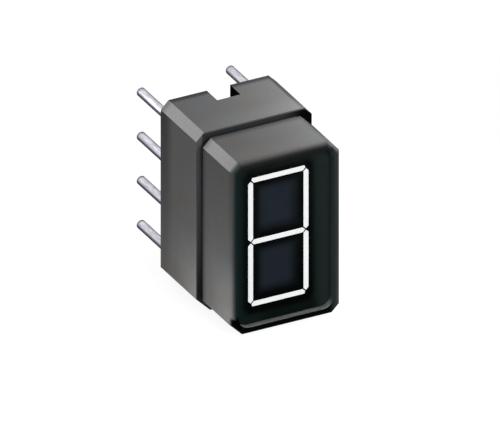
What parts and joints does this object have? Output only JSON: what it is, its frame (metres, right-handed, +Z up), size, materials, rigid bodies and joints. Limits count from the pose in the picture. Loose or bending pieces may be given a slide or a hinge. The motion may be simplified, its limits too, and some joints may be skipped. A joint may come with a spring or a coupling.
{
  "type": "led display",
  "caption": "Segmented LED digit display in a dark moulded case, with white light bars in a shallow front window, a notch in the rear edge and round pins behind.",
  "frame": {"origin": "middle of the pin pattern on the rear seating face", "axes": "+Y out of the seating face along the pins, so the digit faces -Y; +Z up the digit; +X to the right of the digit as it is read"},
  "size_m": [0.0066, 0.0111, 0.0104],
  "materials": {
    "rear_case": "satin",
    "front_case": "satin",
    "board": "satin",
    "light_bar": "satin",
    "chip": "gloss",
    "wire": "polished",
    "pin": "tinned",
    "solder": "satin"
  },
  "bodies": {
    "root": {"rear_housing": "rear_case", "front_housing": "front_case", "circuit_board": "board", "light_bar_a": "light_bar", "light_bar_b": "light_bar", "light_bar_c": "light_bar", "light_bar_d": "light_bar", "light_bar_e": "light_bar", "light_bar_f": "light_bar", "light_bar_g": "light_bar", "led_chip_a": "chip", "led_chip_b": "chip", "led_chip_c": "chip", "led_chip_d": "chip", "led_chip_e": "chip", "led_chip_f": "chip", "led_chip_g": "chip", "bond_wire_a": "wire", "bond_wire_b": "wire", "bond_wire_c": "wire", "bond_wire_d": "wire", "bond_wire_e": "wire", "bond_wire_f": "wire", "bond_wire_g": "wire", "pin_1": "pin", "pin_2": "pin", "pin_3": "pin", "pin_4": "pin", "pin_5": "pin", "pin_6": "pin", "pin_7": "pin", "pin_8": "pin", "solder_1": "solder", "solder_2": "solder", "solder_3": "solder", "solder_4": "solder", "solder_5": "solder", "solder_6": "solder", "solder_7": "solder", "solder_8": "solder"}
  },
  "joints": []
}
